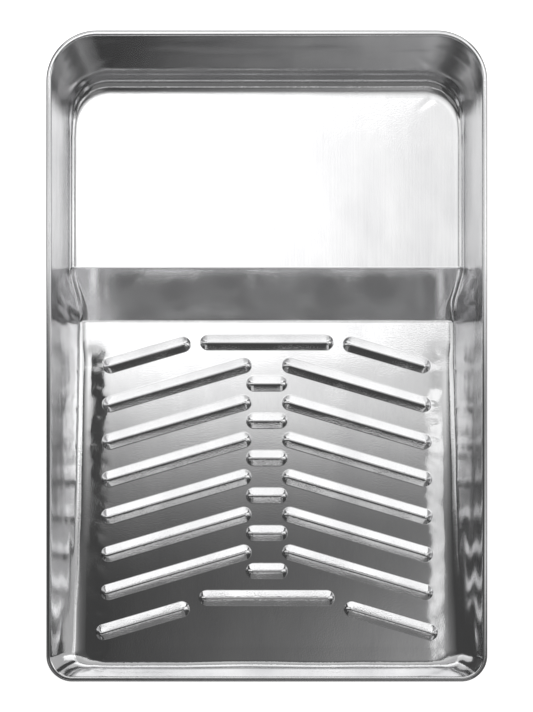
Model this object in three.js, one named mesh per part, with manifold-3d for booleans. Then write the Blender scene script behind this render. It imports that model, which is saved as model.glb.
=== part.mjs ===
// Paint roller tray: a deep-drawn steel pan with a rolled rim, and two strip legs under its shallow end.
// Millimetres, +Z up. +Y is the deep (well) end, X the width. The origin is the centre of the
// footprint, on the surface that the tray stands on.
import * as THREE from 'three';
import { mergeVertices } from 'three/addons/utils/BufferGeometryUtils.js';
import Module from 'manifold-3d';

const wasm = await Module();
wasm.setup();

// Overall size
const HALF_WIDTH = 139.7;
const HALF_LENGTH = 206.2;
const HEIGHT = 76;
const SHEET = 0.5;

// Rolled rim
const BEAD_RADIUS = 1.8;
const BEAD_END_ANGLE = THREE.MathUtils.degToRad(-100);
const REAR_CORNER_RADIUS = 32;
const FRONT_CORNER_RADIUS = 16.5;

// Lengthwise profile of the upper face: flat well, step, ramp
const WELL_END = 58.8;
const RAMP_START = 22.5;
const RAMP_START_HEIGHT = 33.5;
const RAMP_ANGLE = THREE.MathUtils.degToRad(7.75);
const STEP_FILLET = 5;

// Where the wall planes would meet the floor, and where the round between them ends on the floor
const WELL_HALF_WIDTH = 131;
const RAMP_HALF_WIDTH = 120.3;
const WELL_SIDE_FILLET_RUN = 6.4;
const RAMP_SIDE_FILLET_RUN = 4.6;
const REAR_BASE = 183.3;
const REAR_FILLET_RUN = 11.3;
const FRONT_BASE = -198;
const FRONT_FILLET_RUN = 4;
const REAR_BASE_RADIUS = 27;
const FRONT_BASE_RADIUS = 5;
const REAR_FLOOR_RADIUS = 22;
const FRONT_FLOOR_RADIUS = 3;

// Pressed ridges on the ramp: a low roof with round ends
const RIDGE_HALF_WIDTH = 4.7;
const RIDGE_HEIGHT = 2.7;
const RIDGE_CREST_HALF_WIDTH = 0.5;
const RIDGE_SLANT = THREE.MathUtils.degToRad(16.2);
const RIDGE_PITCH = 24;
const RIDGE_ROWS = 6;
const FIRST_LONG_RIDGE = -4.9;
const LONG_RIDGE_INNER_X = 10.4;
const RIDGE_OUTER_X = 106;
const FIRST_SHORT_BAR = -17.9;
const SHORT_BAR_LENGTH = 26;
const END_BAR_LENGTH = 86;
const TOP_BAR_Y = 8.8;
const BOTTOM_BAR_Y = -155;
const END_RIDGE_INNER_X = 50;
const BOTTOM_RIDGE_Y = -160.8;
const BOTTOM_RIDGE_OUTER_X = 108.8;

// Legs: a strip bent into a top flange, an upright and a hooked foot
const LEG_X = 80;
const LEG_SHEET = 1.2;
const LEG_TOP_WIDTH = 34;
const LEG_FOOT_WIDTH = 24;
const LEG_UPRIGHT_Y = -192.5;
const LEG_FLANGE_LENGTH = 16;
const LEG_FOOT_LENGTH = 18;
const LEG_LIP_HEIGHT = 7;
const LEG_BEND_RADIUS = 2.4;
const LEG_STIFFENER_HALF_WIDTH = 4;
const LEG_STIFFENER_DEPTH = 1.6;
const WELD_GAP = 0.3;

// Fineness of the mesh
const COLUMNS = 6;
const REAR_ARC_STEPS = 6;
const FRONT_ARC_STEPS = 4;
const FILLET_STEPS = 4;
const CURL_STEPS = [2, 3, 3];
const PROFILE_ARC_STEPS = 3;
const RIDGE_END_STEPS = 4;

const plated = new THREE.MeshStandardMaterial({ color: 0xc9cacc, roughness: 0.14, metalness: 1 });
const legSteel = new THREE.MeshStandardMaterial({ color: 0xbfc1c4, roughness: 0.28, metalness: 1 });

const rampHeight = (y) => RAMP_START_HEIGHT + (RAMP_START - y) * Math.tan(RAMP_ANGLE);

// Points of the arc of the given radius that rounds the corner at b between the lines a-b and b-c
function roundedCorner(a, b, c, radius, steps) {
  const toA = a.clone().sub(b).normalize();
  const toC = c.clone().sub(b).normalize();
  const halfAngle = Math.acos(THREE.MathUtils.clamp(toA.dot(toC), -1, 1)) / 2;
  const run = radius / Math.tan(halfAngle);
  const start = b.clone().addScaledVector(toA, run);
  const end = b.clone().addScaledVector(toC, run);
  return conicArc(start, b, end, Math.sin(halfAngle), steps);
}

// A conic from start to end with its tangents meeting at corner; the weight makes it circular
function conicArc(start, corner, end, weight, steps) {
  const points = [];
  for (let k = 0; k <= steps; k++) {
    const t = k / steps;
    const s = 1 - t;
    const middle = 2 * weight * s * t;
    const total = s * s + middle + t * t;
    const point = start.clone().multiplyScalar((s * s) / total);
    point.addScaledVector(corner, middle / total);
    point.addScaledVector(end, (t * t) / total);
    points.push(point);
  }
  return points;
}

// The lengthwise profile as (y, z) points from the front to the back
function lengthwiseProfile() {
  const front = new THREE.Vector2(-HALF_LENGTH, rampHeight(-HALF_LENGTH));
  const rampTop = new THREE.Vector2(RAMP_START, RAMP_START_HEIGHT);
  const stepFoot = new THREE.Vector2(WELL_END, SHEET);
  const back = new THREE.Vector2(HALF_LENGTH, SHEET);
  return [
    front,
    ...roundedCorner(front, rampTop, stepFoot, STEP_FILLET, PROFILE_ARC_STEPS),
    ...roundedCorner(rampTop, stepFoot, back, STEP_FILLET, PROFILE_ARC_STEPS),
    back,
  ];
}

const profile = lengthwiseProfile();

function floorHeight(y) {
  let k = 1;
  while (k < profile.length - 1 && profile[k].x < y) k++;
  const [a, b] = [profile[k - 1], profile[k]];
  return a.y + ((b.y - a.y) * (y - a.x)) / (b.x - a.x);
}

// Half width of the pan at its base: the ramp is narrower than the well, and they blend along the step
function baseHalfWidth(y) {
  return THREE.MathUtils.lerp(RAMP_HALF_WIDTH, WELL_HALF_WIDTH, stepShare(y));
}

const stepShare = (y) => THREE.MathUtils.smoothstep(y, RAMP_START - 4, WELL_END);

function floorHalfWidth(y) {
  const run = THREE.MathUtils.lerp(RAMP_SIDE_FILLET_RUN, WELL_SIDE_FILLET_RUN, stepShare(y));
  return baseHalfWidth(y) - run;
}

// Plan outlines: rounded rectangles whose width may change along Y
const beadOutline = {
  halfWidth: () => HALF_WIDTH - BEAD_RADIUS,
  front: -HALF_LENGTH + BEAD_RADIUS,
  rear: HALF_LENGTH - BEAD_RADIUS,
  frontRadius: FRONT_CORNER_RADIUS - BEAD_RADIUS,
  rearRadius: REAR_CORNER_RADIUS - BEAD_RADIUS,
};
const baseOutline = {
  halfWidth: baseHalfWidth,
  front: FRONT_BASE,
  rear: REAR_BASE,
  frontRadius: FRONT_BASE_RADIUS,
  rearRadius: REAR_BASE_RADIUS,
};
const floorOutline = {
  halfWidth: floorHalfWidth,
  front: FRONT_BASE + FRONT_FILLET_RUN,
  rear: REAR_BASE - REAR_FILLET_RUN,
  frontRadius: FRONT_FLOOR_RADIUS,
  rearRadius: REAR_FLOOR_RADIUS,
};

// Rows of the grid across the pan: the front corners' arcs, the straight sides, the rear corners' arcs
function gridRows() {
  const rows = [];
  for (let k = 0; k <= FRONT_ARC_STEPS; k++) {
    rows.push({ arc: 'front', angle: (-Math.PI / 2) * (1 - k / FRONT_ARC_STEPS) });
  }
  for (const y of [-184, -130, -60, RAMP_START - 12]) rows.push({ y });
  for (const point of profile.slice(1, -1)) rows.push({ y: point.x });
  const stepMiddle = (RAMP_START + WELL_END) / 2;
  const stepRun = WELL_END - RAMP_START;
  for (const part of [-0.22, 0, 0.22]) rows.push({ y: stepMiddle + part * stepRun });
  for (const y of [WELL_END + 12, 105, 140]) rows.push({ y });
  for (let k = 0; k <= REAR_ARC_STEPS; k++) {
    rows.push({ arc: 'rear', angle: (Math.PI / 2) * (k / REAR_ARC_STEPS) });
  }
  const sides = rows.filter((row) => row.arc === undefined).sort((a, b) => a.y - b.y);
  return [
    ...rows.filter((row) => row.arc === 'front'),
    ...sides,
    ...rows.filter((row) => row.arc === 'rear'),
  ];
}

const rows = gridRows();
const lastRow = rows.length - 1;

// Where a row crosses an outline: its y and the half width there
function crossing(outline, row) {
  if (row.arc === undefined) return { y: row.y, halfWidth: outline.halfWidth(row.y) };
  const isFront = row.arc === 'front';
  const radius = isFront ? outline.frontRadius : outline.rearRadius;
  const centre = isFront ? outline.front + radius : outline.rear - radius;
  const y = centre + radius * Math.sin(row.angle);
  return { y, halfWidth: outline.halfWidth(y) - radius + radius * Math.cos(row.angle) };
}

const columnShare = (column) => (2 * column) / COLUMNS - 1;

function outlinePoint(outline, column, rowIndex) {
  const { y, halfWidth } = crossing(outline, rows[rowIndex]);
  return new THREE.Vector2(columnShare(column) * halfWidth, y);
}

// The grid's edge, counter-clockwise seen from above, as [column, row, outward direction]
function perimeterNodes() {
  const nodes = [];
  for (let i = 0; i < COLUMNS; i++) nodes.push([i, 0]);
  for (let j = 0; j < lastRow; j++) nodes.push([COLUMNS, j]);
  for (let i = COLUMNS; i > 0; i--) nodes.push([i, lastRow]);
  for (let j = lastRow; j > 0; j--) nodes.push([0, j]);
  return nodes.map(([i, j]) => [i, j, outwardDirection(i, j)]);
}

function outwardDirection(column, rowIndex) {
  if (column > 0 && column < COLUMNS) return new THREE.Vector2(0, rowIndex === 0 ? -1 : 1);
  const side = column === 0 ? -1 : 1;
  const angle = rows[rowIndex].angle ?? 0;
  return new THREE.Vector2(side * Math.cos(angle), Math.sin(angle));
}

const at = (planPoint, z) => new THREE.Vector3(planPoint.x, planPoint.y, z);

// Angles round the rim's section, from the wall over the crest and the outermost point to the curl's end
function curlAngles(startAngle) {
  const stations = [startAngle, Math.PI / 2, 0, BEAD_END_ANGLE];
  const angles = [startAngle];
  CURL_STEPS.forEach((steps, part) => {
    for (let k = 1; k <= steps; k++) {
      angles.push(THREE.MathUtils.lerp(stations[part], stations[part + 1], k / steps));
    }
  });
  return angles;
}

// The upper face's points from the floor's edge up the wall and round the rolled rim
function wallSection([column, rowIndex, outward]) {
  const floor2 = outlinePoint(floorOutline, column, rowIndex);
  const base2 = outlinePoint(baseOutline, column, rowIndex);
  const centre2 = outlinePoint(beadOutline, column, rowIndex);
  const floorEdge = at(floor2, floorHeight(floor2.y));
  const base = at(base2, floorHeight(base2.y));
  const centre = at(centre2, HEIGHT - BEAD_RADIUS);
  const reach = centre2.clone().sub(base2).dot(outward);
  const rise = centre.z - base.z;
  const slope = Math.atan2(rise, reach) + Math.asin(BEAD_RADIUS / Math.hypot(rise, reach));
  const onBead = (angle) => {
    const offset = outward.clone().multiplyScalar(BEAD_RADIUS * Math.cos(angle));
    return new THREE.Vector3(offset.x, offset.y, BEAD_RADIUS * Math.sin(angle)).add(centre);
  };
  const startAngle = slope + Math.PI / 2;
  const wallTop = onBead(startAngle);
  const wall = wallTop.clone().sub(base);
  const run = floorEdge.distanceTo(base);
  const filletTop = base.clone().addScaledVector(wall, run / wall.length());
  const cosine = floorEdge.clone().sub(base).normalize().dot(wall.clone().normalize());
  const weight = Math.sin(Math.acos(cosine) / 2);
  const points = conicArc(floorEdge, base, filletTop, weight, FILLET_STEPS).slice(1);
  return [...points, ...curlAngles(startAngle).map(onBead)];
}

// The upper face of the sheet: grid across the floor and ramp, then rings up the wall and round the rim
function upperFace() {
  const vertices = [];
  const quads = [];
  const gridIndex = (i, j) => j * (COLUMNS + 1) + i;
  for (let j = 0; j <= lastRow; j++) {
    for (let i = 0; i <= COLUMNS; i++) {
      const point = outlinePoint(floorOutline, i, j);
      vertices.push(at(point, floorHeight(point.y)));
    }
  }
  for (let j = 0; j < lastRow; j++) {
    for (let i = 0; i < COLUMNS; i++) {
      quads.push([gridIndex(i, j), gridIndex(i + 1, j), gridIndex(i + 1, j + 1), gridIndex(i, j + 1)]);
    }
  }
  const nodes = perimeterNodes();
  let ring = nodes.map(([i, j]) => gridIndex(i, j));
  const sections = nodes.map(wallSection);
  for (let level = 0; level < sections[0].length; level++) {
    const next = sections.map((section) => vertices.push(section[level]) - 1);
    for (let m = 0; m < ring.length; m++) {
      const n = (m + 1) % ring.length;
      quads.push([ring[m], next[m], next[n], ring[n]]);
    }
    ring = next;
  }
  return { vertices, quads, edge: ring };
}

function vertexNormals({ vertices, quads }) {
  const normals = vertices.map(() => new THREE.Vector3());
  for (const quad of quads) {
    const [a, b, c, d] = quad.map((index) => vertices[index]);
    const normal = c.clone().sub(a).cross(d.clone().sub(b));
    for (const index of quad) normals[index].add(normal);
  }
  return normals.map((normal) => normal.normalize());
}

// Gives the upper face the sheet's thickness and closes it along the end of the rolled rim
function thickened(face) {
  const normals = vertexNormals(face);
  const count = face.vertices.length;
  const lower = face.vertices.map((vertex, k) => vertex.clone().addScaledVector(normals[k], -SHEET));
  const triangles = [];
  const addQuad = (a, b, c, d) => triangles.push(a, b, c, a, c, d);
  for (const [a, b, c, d] of face.quads) {
    addQuad(a, b, c, d);
    triangles.push(count + a, count + c, count + b, count + a, count + d, count + c);
  }
  face.edge.forEach((a, m) => {
    const b = face.edge[(m + 1) % face.edge.length];
    addQuad(a, count + a, count + b, b);
  });
  return solid([...face.vertices, ...lower], triangles);
}

function solid(points, triangles) {
  const vertProperties = new Float32Array(points.flatMap((point) => point.toArray()));
  const triVerts = new Uint32Array(triangles);
  return new wasm.Manifold(new wasm.Mesh({ numProp: 3, vertProperties, triVerts }));
}

function solidOf(geometry, matrix = new THREE.Matrix4()) {
  const bare = geometry.clone().applyMatrix4(matrix);
  bare.deleteAttribute('normal');
  bare.deleteAttribute('uv');
  const merged = mergeVertices(bare, 1e-4);
  const vertProperties = new Float32Array(merged.attributes.position.array);
  const triVerts = new Uint32Array(merged.index.array);
  return new wasm.Manifold(new wasm.Mesh({ numProp: 3, vertProperties, triVerts }));
}

function geometryOf(manifold) {
  const mesh = manifold.getMesh();
  const geometry = new THREE.BufferGeometry();
  geometry.setAttribute('position', new THREE.BufferAttribute(mesh.vertProperties, 3));
  geometry.setIndex(new THREE.BufferAttribute(mesh.triVerts, 1));
  geometry.computeVertexNormals();
  return geometry;
}

// Outline of a bar with round ends, length measured over the ends
function barOutline(length, halfWidth, steps) {
  const points = [];
  for (const side of [1, -1]) {
    for (let k = 0; k <= steps; k++) {
      const angle = -Math.PI / 2 + (Math.PI * k) / steps;
      const x = side * (length / 2 - halfWidth + halfWidth * Math.cos(angle));
      points.push(new THREE.Vector2(x, side * halfWidth * Math.sin(angle)));
    }
  }
  return points;
}

// A low roof over a bar outline: sides up from depth, flanks sloping in to a narrow crest
function ridgeSolid(length, halfWidth, height, depth) {
  const steps = RIDGE_END_STEPS;
  const inset = halfWidth - RIDGE_CREST_HALF_WIDTH;
  const levels = [
    [barOutline(length, halfWidth, steps), -depth],
    [barOutline(length, halfWidth, steps), 0],
    [barOutline(length - 2 * inset, RIDGE_CREST_HALF_WIDTH, steps), height],
  ];
  const count = levels[0][0].length;
  const points = levels.flatMap(([outline, z]) => outline.map((point) => at(point, z)));
  const triangles = [];
  for (let level = 0; level + 1 < levels.length; level++) {
    for (let k = 0; k < count; k++) {
      const [a, b] = [level * count + k, level * count + ((k + 1) % count)];
      triangles.push(a, b, b + count, a, b + count, a + count);
    }
  }
  const top = 2 * count;
  for (let k = 1; k + 1 < count; k++) {
    triangles.push(0, k + 1, k);
    triangles.push(top, top + k, top + k + 1);
  }
  return solid(points, triangles);
}

// Every ridge as { x, y, length, turn }: its middle in plan, length over its ends, and turn about Z
function ridgeLayout() {
  const ridges = [
    { x: 0, y: TOP_BAR_Y, length: END_BAR_LENGTH, turn: 0 },
    { x: 0, y: BOTTOM_BAR_Y, length: END_BAR_LENGTH, turn: 0 },
  ];
  for (let row = 0; row < RIDGE_ROWS; row++) {
    ridges.push({ x: 0, y: FIRST_SHORT_BAR - row * RIDGE_PITCH, length: SHORT_BAR_LENGTH, turn: 0 });
  }
  const slanted = [
    [END_RIDGE_INNER_X, TOP_BAR_Y, RIDGE_OUTER_X],
    [END_RIDGE_INNER_X, BOTTOM_RIDGE_Y, BOTTOM_RIDGE_OUTER_X],
  ];
  for (let row = 0; row < RIDGE_ROWS; row++) {
    slanted.push([LONG_RIDGE_INNER_X, FIRST_LONG_RIDGE - row * RIDGE_PITCH, RIDGE_OUTER_X]);
  }
  for (const [innerX, innerY, outerX] of slanted) {
    const run = outerX - innerX;
    for (const side of [-1, 1]) {
      ridges.push({
        x: side * (innerX + run / 2),
        y: innerY - (run / 2) * Math.tan(RIDGE_SLANT),
        length: run / Math.cos(RIDGE_SLANT),
        turn: -side * RIDGE_SLANT,
      });
    }
  }
  return ridges;
}

// Lays a ridge, made round the origin, on the ramp
function onRamp(manifold, { x, y, turn }) {
  const place = new THREE.Matrix4().makeTranslation(x, y, rampHeight(y));
  place.multiply(new THREE.Matrix4().makeRotationX(-RAMP_ANGLE));
  place.multiply(new THREE.Matrix4().makeRotationZ(turn));
  return manifold.transform(place.toArray());
}

function panSolid() {
  const flank = Math.atan(RIDGE_HEIGHT / (RIDGE_HALF_WIDTH - RIDGE_CREST_HALF_WIDTH));
  const crestDrop = SHEET / Math.cos(flank);
  const grooveHalfWidth = RIDGE_HALF_WIDTH - SHEET * Math.tan(flank / 2);
  let pan = thickened(upperFace());
  for (const ridge of ridgeLayout()) {
    const bump = ridgeSolid(ridge.length, RIDGE_HALF_WIDTH, RIDGE_HEIGHT, SHEET / 2);
    pan = pan.add(onRamp(bump, ridge));
  }
  for (const ridge of ridgeLayout()) {
    const shorter = ridge.length - 2 * (RIDGE_HALF_WIDTH - grooveHalfWidth);
    const hollow = ridgeSolid(shorter, grooveHalfWidth, RIDGE_HEIGHT - crestDrop + SHEET, 1);
    const lowered = hollow.translate([0, 0, -SHEET]);
    pan = pan.subtract(onRamp(lowered, ridge));
  }
  return pan;
}

// Side view of a leg as a centre line in (y, z): flange under the ramp, upright, foot and lip
function legCentreLine() {
  const half = LEG_SHEET / 2;
  const under = (SHEET + WELD_GAP + half) / Math.cos(RAMP_ANGLE);
  const flangeEnd = LEG_UPRIGHT_Y + LEG_FLANGE_LENGTH;
  const lipY = LEG_UPRIGHT_Y + LEG_FOOT_LENGTH;
  const corners = [
    new THREE.Vector2(flangeEnd, rampHeight(flangeEnd) - under),
    new THREE.Vector2(LEG_UPRIGHT_Y, rampHeight(LEG_UPRIGHT_Y) - under),
    new THREE.Vector2(LEG_UPRIGHT_Y, half),
    new THREE.Vector2(lipY, half),
    new THREE.Vector2(lipY, LEG_LIP_HEIGHT),
  ];
  const line = [corners[0]];
  for (let k = 1; k + 1 < corners.length; k++) {
    line.push(...roundedCorner(corners[k - 1], corners[k], corners[k + 1], LEG_BEND_RADIUS, 4));
  }
  line.push(corners[corners.length - 1]);
  return line;
}

// The outline of a strip of the given thickness along a centre line
function stripOutline(line, thickness) {
  const left = [];
  const right = [];
  line.forEach((point, k) => {
    const before = line[Math.max(k - 1, 0)];
    const after = line[Math.min(k + 1, line.length - 1)];
    const along = after.clone().sub(before).normalize();
    const across = new THREE.Vector2(-along.y, along.x).multiplyScalar(thickness / 2);
    left.push(point.clone().add(across));
    right.unshift(point.clone().sub(across));
  });
  return [...left, ...right];
}

// A flat shape drawn in (y, z), extruded along X with its middle at x = 0
function extrudedAcross(points, width) {
  const geometry = new THREE.ExtrudeGeometry(new THREE.Shape(points), {
    depth: width,
    bevelEnabled: false,
    steps: 1,
  });
  const toSide = new THREE.Matrix4().makeBasis(
    new THREE.Vector3(0, 1, 0),
    new THREE.Vector3(0, 0, 1),
    new THREE.Vector3(1, 0, 0),
  );
  return solidOf(geometry, toSide.premultiply(new THREE.Matrix4().makeTranslation(-width / 2, 0, 0)));
}

// A flat shape drawn in (x, z), extruded along Y to cover the whole leg: the strip's front view
function legFrontView() {
  const top = LEG_TOP_WIDTH / 2;
  const foot = LEG_FOOT_WIDTH / 2;
  const cornerCut = 4;
  const shape = new THREE.Shape([
    new THREE.Vector2(-foot, -1),
    new THREE.Vector2(foot, -1),
    new THREE.Vector2(foot, LEG_LIP_HEIGHT + cornerCut),
    new THREE.Vector2(top, HEIGHT / 2),
    new THREE.Vector2(top, HEIGHT),
    new THREE.Vector2(-top, HEIGHT),
    new THREE.Vector2(-top, HEIGHT / 2),
    new THREE.Vector2(-foot, LEG_LIP_HEIGHT + cornerCut),
  ]);
  const depth = 2 * LEG_FLANGE_LENGTH + 2 * LEG_FOOT_LENGTH;
  const geometry = new THREE.ExtrudeGeometry(shape, { depth, bevelEnabled: false, steps: 1 });
  const place = new THREE.Matrix4().makeRotationX(Math.PI / 2);
  place.premultiply(new THREE.Matrix4().makeTranslation(0, LEG_UPRIGHT_Y + depth / 2, 0));
  return solidOf(geometry, place);
}

// A pressed groove down the upright that stiffens it
function stiffener(halfWidth, depth, lowest, highest) {
  const bar = ridgeSolid(highest - lowest, halfWidth, depth, LEG_SHEET / 2);
  const place = new THREE.Matrix4().makeBasis(
    new THREE.Vector3(0, 0, 1),
    new THREE.Vector3(1, 0, 0),
    new THREE.Vector3(0, 1, 0),
  );
  place.premultiply(new THREE.Matrix4().makeTranslation(0, LEG_UPRIGHT_Y, (lowest + highest) / 2));
  return bar.transform(place.toArray());
}

function legSolid() {
  const strip = extrudedAcross(stripOutline(legCentreLine(), LEG_SHEET), LEG_TOP_WIDTH + 2);
  const lowest = 10;
  const highest = 50;
  const half = LEG_SHEET / 2;
  const outer = stiffener(LEG_STIFFENER_HALF_WIDTH, LEG_STIFFENER_DEPTH, lowest, highest);
  const inner = stiffener(LEG_STIFFENER_HALF_WIDTH - half, LEG_STIFFENER_DEPTH, lowest + half, highest - half);
  const raised = strip.intersect(legFrontView()).add(outer.translate([0, half, 0]));
  return raised.subtract(inner.translate([0, -half, 0]));
}

function namedMesh(name, manifold, material) {
  const mesh = new THREE.Mesh(geometryOf(manifold), material);
  mesh.name = name;
  return mesh;
}

function trayPan() {
  return namedMesh('tray_pan', panSolid(), plated);
}

function leg(name, side) {
  const mesh = namedMesh(name, legSolid(), legSteel);
  mesh.position.x = side * LEG_X;
  return mesh;
}

const tray = new THREE.Group();
tray.add(trayPan());
tray.add(leg('left_leg', -1));
tray.add(leg('right_leg', 1));

export default tray;
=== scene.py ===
"""A paint roller tray of bright plated steel, seen from straight above in a plain studio.

The pan is one pressed sheet. It is built here as a fine mesh of the same shape as its CAD node: a grid over
the floor and ramp, rings up the walls and round the rolled rim, and rings over each pressed ridge. The two
legs are strips swept along a bent line. All lengths are in metres, in the CAD frame: +Z up, +Y towards the
deep well.
"""
import math

import bpy
import numpy as np
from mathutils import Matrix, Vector, noise
from mathutils.geometry import delaunay_2d_cdt


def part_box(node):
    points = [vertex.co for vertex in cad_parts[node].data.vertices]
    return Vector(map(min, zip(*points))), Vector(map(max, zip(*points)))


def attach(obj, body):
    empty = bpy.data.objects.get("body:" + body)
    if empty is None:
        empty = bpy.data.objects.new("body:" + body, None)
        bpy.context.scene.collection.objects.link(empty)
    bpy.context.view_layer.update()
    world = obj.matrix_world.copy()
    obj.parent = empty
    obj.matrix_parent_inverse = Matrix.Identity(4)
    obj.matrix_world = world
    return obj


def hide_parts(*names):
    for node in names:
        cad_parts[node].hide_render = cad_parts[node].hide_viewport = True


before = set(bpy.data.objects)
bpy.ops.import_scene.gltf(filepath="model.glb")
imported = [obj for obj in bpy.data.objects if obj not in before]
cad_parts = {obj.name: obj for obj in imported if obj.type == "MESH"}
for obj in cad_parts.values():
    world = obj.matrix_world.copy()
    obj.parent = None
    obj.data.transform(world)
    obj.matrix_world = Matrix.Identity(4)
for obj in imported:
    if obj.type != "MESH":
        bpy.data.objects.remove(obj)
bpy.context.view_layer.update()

MM = 0.001

# ---------------------------------------------------------------- the pan's dimensions
HALF_WIDTH, HALF_LENGTH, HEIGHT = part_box("tray_pan")[1]
SHEET = 0.5 * MM

BEAD_RADIUS = 1.8 * MM
BEAD_END_ANGLE = math.radians(-100)
REAR_CORNER_RADIUS = 32 * MM
FRONT_CORNER_RADIUS = 16.5 * MM

WELL_END = 58.8 * MM
RAMP_START = 22.5 * MM
RAMP_START_HEIGHT = 33.5 * MM
RAMP_SLOPE = math.tan(math.radians(7.75))
STEP_FILLET = 2.4 * MM
STEP_BLEND_START = RAMP_START + 2 * MM

WELL_HALF_WIDTH = 131 * MM
RAMP_HALF_WIDTH = 120.3 * MM
WELL_SIDE_FILLET_RUN = 5 * MM
RAMP_SIDE_FILLET_RUN = 4.6 * MM
REAR_BASE = 183.3 * MM
REAR_FILLET_RUN = 11.3 * MM
FRONT_BASE = -198 * MM
FRONT_FILLET_RUN = 4 * MM
REAR_BASE_RADIUS = 27 * MM
FRONT_BASE_RADIUS = 10 * MM
REAR_FLOOR_RADIUS = 22 * MM
FRONT_FLOOR_RADIUS = 8 * MM

RIDGE_HALF_WIDTH = 4.7 * MM
RIDGE_HEIGHT = 2.65 * MM
RIDGE_SIDE_CROWN, RIDGE_END_CROWN = 1.02, 1.9
RIDGE_CREST_ROUNDING, RIDGE_FOOT_ROUNDING = 0.07, 0.1 * MM
RIDGE_SLANT = math.radians(16.2)
RIDGE_PITCH = 24 * MM
RIDGE_ROWS = 6
FIRST_LONG_RIDGE = -4.9 * MM
LONG_RIDGE_INNER_X = 10.4 * MM
RIDGE_OUTER_X = 106 * MM
FIRST_SHORT_BAR = -17.9 * MM
SHORT_BAR_LENGTH = 26 * MM
END_BAR_LENGTH = 86 * MM
TOP_BAR_Y = 8.8 * MM
BOTTOM_BAR_Y = -155 * MM
END_RIDGE_INNER_X = 50 * MM
BOTTOM_RIDGE_Y = -160.8 * MM
BOTTOM_RIDGE_OUTER_X = 108.8 * MM

# ---------------------------------------------------------------- the legs' dimensions
LEG_X = 80 * MM
LEG_SHEET = 1.2 * MM
LEG_TOP_WIDTH, LEG_FOOT_WIDTH = 34 * MM, 24 * MM
LEG_UPRIGHT_Y = -192.5 * MM
LEG_FLANGE_LENGTH = 16 * MM
LEG_FOOT_LENGTH = 18 * MM
LEG_LIP_HEIGHT = 7 * MM
LEG_BEND_RADIUS = 2.4 * MM
LEG_TAPER_LOW, LEG_TAPER_HIGH = 11 * MM, HEIGHT / 2
LEG_CORNER_RADIUS = 3 * MM
LEG_EDGE_RADIUS = 0.35 * MM
STIFFENER_HALF_WIDTH, STIFFENER_DEPTH = 4 * MM, 1.6 * MM
STIFFENER_LOW, STIFFENER_HIGH = 10 * MM, 50 * MM
STIFFENER_FLAT_SHARE = 0.2
WELD_GAP = 0.3 * MM
WELD_X, WELD_TRAVEL = 9 * MM, 8 * MM
WELD_RADIUS, WELD_DEPTH = 2.2 * MM, 0.25 * MM
LEG_SPACING = 0.7 * MM
LEG_BEND_STEPS = 10
LEG_EDGE_STEPS = 4
LEG_CORNER_STEPS = 8
LEG_UPRIGHT_NORMAL = 0.99

# ---------------------------------------------------------------- fineness of the pan's mesh
COLUMNS = 112
ROW_SPACING = 2 * MM
STEP_ROW_SPACING = 0.6 * MM
SIDES_START, SIDES_END = -183 * MM, 148 * MM
STEP_ROWS_START, STEP_ROWS_END = RAMP_START - 6 * MM, WELL_END + 4 * MM
REAR_ARC_STEPS = 26
FRONT_ARC_STEPS = 44
FILLET_STEPS = 12
WALL_STEPS = 26
CURL_STEPS = 26
RIDGE_RINGS = (
    1.24, 1.14, 1.08, 1.05, 1.025, 1, 0.975, 0.95, 0.9, 0.82, 0.7, 0.56, 0.42, 0.31, 0.22, 0.14, 0.08, 0.04
)
RIDGE_SPACING = 2 * MM
RIDGE_END_STEPS = 14
PATCH_FRONT = BOTTOM_RIDGE_Y - 28 * MM
PATCH_MARGIN = 3 * MM
PATCH_CLEARANCE = 0.7 * MM
SAME_POINT = 1e-6
STEEP_NORMAL = 0.6

# ---------------------------------------------------------------- unevenness left by the press
RAMP_BOW, RAMP_BOW_POWER = 1.3 * MM, 4
RAMP_FRONT = -186 * MM
SIDE_DROP = 0.9 * MM
SIDE_DROP_START, SIDE_DROP_END = 102 * MM, 116 * MM
SIDE_DROP_FADE_START, SIDE_DROP_FADE_END = 10 * MM, -2 * MM
PINCH_X, PINCH_Y = 105 * MM, 167 * MM
PINCH_LENGTH, PINCH_WIDTH, PINCH_DEPTH = 6 * MM, 1.6 * MM, 0.22 * MM
PINCH_SHOULDER_SHARE, PINCH_SHOULDER_WIDTH = 0.5, 4
WALL_FLARE = 0.05
WALL_FADE_POWER = 0.7
CREASE_REACH = 26 * MM
BACK_WAVE_LOW, BACK_WAVE_HIGH = 0.55, 0.8
BACK_WALL_START, BACK_WALL_FULL = REAR_BASE - 60 * MM, REAR_BASE - 20 * MM

# Each kind of wave: its lengths along X, Y and Z, its height, and where its noise starts.
FLOOR_WAVE = (60 * MM, 70 * MM, 1), 0.12 * MM, 3.1
RAGGED_LINE = (1, 9 * MM, 1), 3 * MM, 4.4
FRAYED_LINE = (5 * MM, 3.5 * MM, 1), 2 * MM, 8.2
SIDE_FOLD = (30 * MM, 320 * MM, 11 * MM), 0.26 * MM, 7.7
SIDE_PLEAT = (30 * MM, 260 * MM, 4.5 * MM), 0.15 * MM, 9.1
SIDE_SWELL = (60 * MM, 190 * MM, 40 * MM), 0.45 * MM, 1.3
BACK_WAVE = (34 * MM, 34 * MM, 11 * MM), 0.55 * MM, 5.9
CREASE = (24 * MM, 10 * MM, 26 * MM), 0.5 * MM, 2.2

# ---------------------------------------------------------------- kinds of grid row
FRONT_ARC, SIDE, REAR_ARC = range(3)


def smoothstep(value, low, high):
    share = np.clip((value - low) / (high - low), 0, 1)
    return share * share * (3 - 2 * share)


def lerp(a, b, share):
    return a + (b - a) * share


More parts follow.
